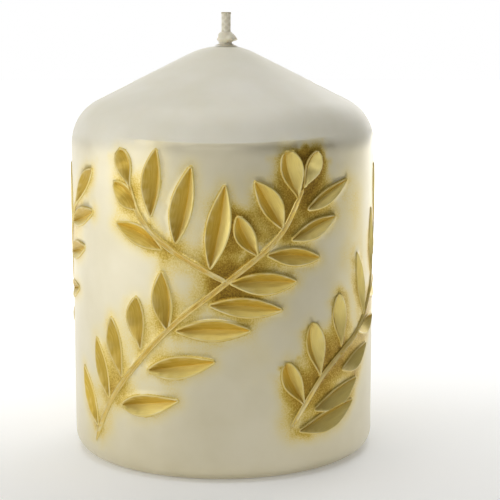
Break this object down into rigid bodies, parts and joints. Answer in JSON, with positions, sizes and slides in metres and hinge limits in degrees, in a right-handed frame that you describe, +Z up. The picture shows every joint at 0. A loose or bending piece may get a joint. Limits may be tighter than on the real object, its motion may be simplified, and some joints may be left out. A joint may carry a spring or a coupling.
{
  "type": "unity candle",
  "caption": "Round pillar candle with a shallow cone top, a standing cotton wick and gilded leaf sprigs carved into its pearl wax side; it stands on a flat base.",
  "frame": {"origin": "middle of the flat base, on the table's surface", "axes": "+Z up along the candle's axis, -Y towards the front, where the forked sprig is carved"},
  "size_m": [0.08, 0.08, 0.1154],
  "materials": {
    "pearl_wax": "satin",
    "core_wax": "matte",
    "seal_wax": "satin",
    "wick_cotton": "matte",
    "tinplate": "satin",
    "gold_paint": "satin"
  },
  "bodies": {
    "root": {"wax_core": "core_wax", "overdip_shell": "pearl_wax", "wick": "wick_cotton", "wick_sustainer": "tinplate", "base_seal": "seal_wax", "wick_bead": "seal_wax", "gilding_front": "gold_paint", "gilding_right": "gold_paint", "gilding_back": "gold_paint", "gilding_left": "gold_paint"}
  },
  "joints": []
}
